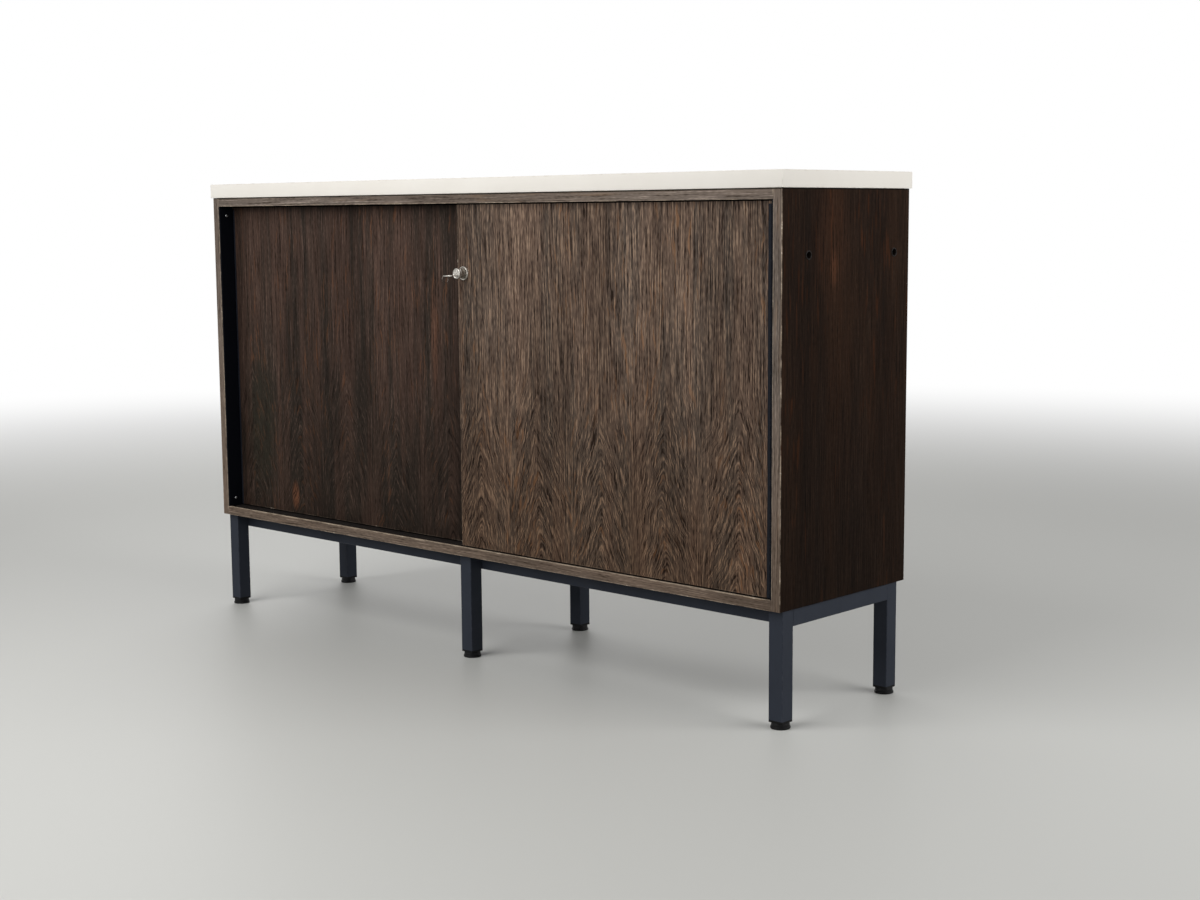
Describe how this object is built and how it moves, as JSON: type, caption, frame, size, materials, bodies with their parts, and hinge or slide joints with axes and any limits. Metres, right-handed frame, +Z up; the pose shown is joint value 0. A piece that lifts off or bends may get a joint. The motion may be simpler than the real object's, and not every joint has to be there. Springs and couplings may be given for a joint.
{
  "type": "office credenza",
  "caption": "Low office cabinet with overlapping sliding wenge doors, a pale top and a square-tube steel base; a push lock with a key holds the doors together",
  "frame": {"origin": "on the floor, at the middle of the overall width and depth", "axes": "+Z up, +X along the width to the right as seen from the front, the front faces -Y"},
  "size_m": [1.708, 0.4624, 1.018],
  "materials": {
    "veneer": "satin wenge veneer",
    "laminate": "smooth cream laminate",
    "base_paint": "satin anthracite powder coat",
    "edge_pull": "satin anthracite",
    "jamb_strip": "satin blue-black",
    "black_plastic": "moulded black",
    "track_plastic": "dark brown extruded",
    "nickel": "polished nickel",
    "steel_wire": "plain steel"
  },
  "bodies": {
    "carcass": {"top_board": "laminate", "carcass_top_panel": "veneer", "carcass_bottom_panel": "veneer", "side_panel_left": "veneer", "side_panel_right": "veneer", "back_panel": "veneer", "centre_partition": "veneer", "shelf_left": "veneer", "shelf_right": "veneer", "shelf_pin_left_front": "steel_wire", "shelf_pin_left_rear": "steel_wire", "shelf_pin_centre_front": "steel_wire", "shelf_pin_centre_rear": "steel_wire", "shelf_pin_right_front": "steel_wire", "shelf_pin_right_rear": "steel_wire", "upper_track": "track_plastic", "lower_track": "track_plastic", "jamb_strip_left": "jamb_strip", "jamb_strip_right": "jamb_strip", "leg_front_left": "base_paint", "leg_front_middle": "base_paint", "leg_front_right": "base_paint", "leg_rear_left": "base_paint", "leg_rear_middle": "base_paint", "leg_rear_right": "base_paint", "cross_rail_left": "base_paint", "cross_rail_middle": "base_paint", "cross_rail_right": "base_paint", "long_rail_front": "base_paint", "long_rail_rear": "base_paint", "leg_cap_front_left": "black_plastic", "leg_cap_front_middle": "black_plastic", "leg_cap_front_right": "black_plastic", "leg_cap_rear_left": "black_plastic", "leg_cap_rear_middle": "black_plastic", "leg_cap_rear_right": "black_plastic"},
    "left_door": {"door_left": "veneer", "door_left_pull": "edge_pull", "door_left_carrier_outer": "track_plastic", "door_left_carrier_inner": "track_plastic", "lock_keeper": "nickel"},
    "right_door": {"door_right": "veneer", "door_right_pull": "edge_pull", "door_right_carrier_outer": "track_plastic", "door_right_carrier_inner": "track_plastic", "lock_housing": "nickel"},
    "plunger": {"lock_plunger": "nickel"},
    "key": {"lock_plug": "nickel", "lock_key": "nickel"},
    "ring": {"key_ring": "steel_wire"},
    "left_roller_outer_body": {"door_left_roller_outer": "black_plastic"},
    "left_roller_inner_body": {"door_left_roller_inner": "black_plastic"},
    "right_roller_outer_body": {"door_right_roller_outer": "black_plastic"},
    "right_roller_inner_body": {"door_right_roller_inner": "black_plastic"},
    "foot_front_left": {"levelling_foot_front_left": "black_plastic"},
    "foot_front_middle": {"levelling_foot_front_middle": "black_plastic"},
    "foot_front_right": {"levelling_foot_front_right": "black_plastic"},
    "foot_rear_left": {"levelling_foot_rear_left": "black_plastic"},
    "foot_rear_middle": {"levelling_foot_rear_middle": "black_plastic"},
    "foot_rear_right": {"levelling_foot_rear_right": "black_plastic"}
  },
  "joints": [
    {"name": "right_door_slide", "type": "slide", "parent": "carcass", "child": "right_door", "axis": [-1, 0, 0], "range_m": [0, 0.82]},
    {"name": "left_door_slide", "type": "slide", "parent": "carcass", "child": "left_door", "axis": [1, 0, 0], "range_m": [0, 0.775]},
    {"name": "lock_push", "type": "slide", "parent": "right_door", "child": "plunger", "axis": [0, 1, 0], "range_m": [0, 0.012], "stiffness_N_per_m": 300, "springref_m": -0.005},
    {"name": "key_turn", "type": "hinge", "parent": "plunger", "child": "key", "pos_m": [0.022, -0.19078, 0.8178], "axis": [0, 1, 0], "range_deg": [0, 90]},
    {"name": "key_ring_swing", "type": "hinge", "parent": "key", "child": "ring", "pos_m": [0.022, -0.22218, 0.8178], "axis": [1, 0, 0], "range_deg": [-40, 40]},
    {"name": "door_left_roller_outer_spin", "type": "hinge", "parent": "left_door", "child": "left_roller_outer_body", "pos_m": [-0.734, -0.12577, 0.2497], "axis": [0, 1, 0], "continuous": true},
    {"name": "door_left_roller_inner_spin", "type": "hinge", "parent": "left_door", "child": "left_roller_inner_body", "pos_m": [-0.045, -0.12577, 0.2497], "axis": [0, 1, 0], "continuous": true},
    {"name": "door_right_roller_outer_spin", "type": "hinge", "parent": "right_door", "child": "right_roller_outer_body", "pos_m": [0.734, -0.15777, 0.2497], "axis": [0, 1, 0], "continuous": true},
    {"name": "door_right_roller_inner_spin", "type": "hinge", "parent": "right_door", "child": "right_roller_inner_body", "pos_m": [0.092, -0.15777, 0.2497], "axis": [0, 1, 0], "continuous": true},
    {"name": "foot_front_left_turn", "type": "hinge", "parent": "carcass", "child": "foot_front_left", "pos_m": [-0.83, -0.14278, 0.006], "axis": [0, 0, 1], "continuous": true},
    {"name": "foot_front_middle_turn", "type": "hinge", "parent": "carcass", "child": "foot_front_middle", "pos_m": [0, -0.14278, 0.006], "axis": [0, 0, 1], "continuous": true},
    {"name": "foot_front_right_turn", "type": "hinge", "parent": "carcass", "child": "foot_front_right", "pos_m": [0.83, -0.14278, 0.006], "axis": [0, 0, 1], "continuous": true},
    {"name": "foot_rear_left_turn", "type": "hinge", "parent": "carcass", "child": "foot_rear_left", "pos_m": [-0.83, 0.19273, 0.006], "axis": [0, 0, 1], "continuous": true},
    {"name": "foot_rear_middle_turn", "type": "hinge", "parent": "carcass", "child": "foot_rear_middle", "pos_m": [0, 0.19273, 0.006], "axis": [0, 0, 1], "continuous": true},
    {"name": "foot_rear_right_turn", "type": "hinge", "parent": "carcass", "child": "foot_rear_right", "pos_m": [0.83, 0.19273, 0.006], "axis": [0, 0, 1], "continuous": true}
  ],
  "couplings": [
    {"joint": "door_left_roller_outer_spin", "follows": "left_door_slide", "rad_per_m": 90.909},
    {"joint": "door_left_roller_inner_spin", "follows": "left_door_slide", "rad_per_m": 90.909},
    {"joint": "door_right_roller_outer_spin", "follows": "right_door_slide", "rad_per_m": -90.909},
    {"joint": "door_right_roller_inner_spin", "follows": "right_door_slide", "rad_per_m": -90.909}
  ]
}
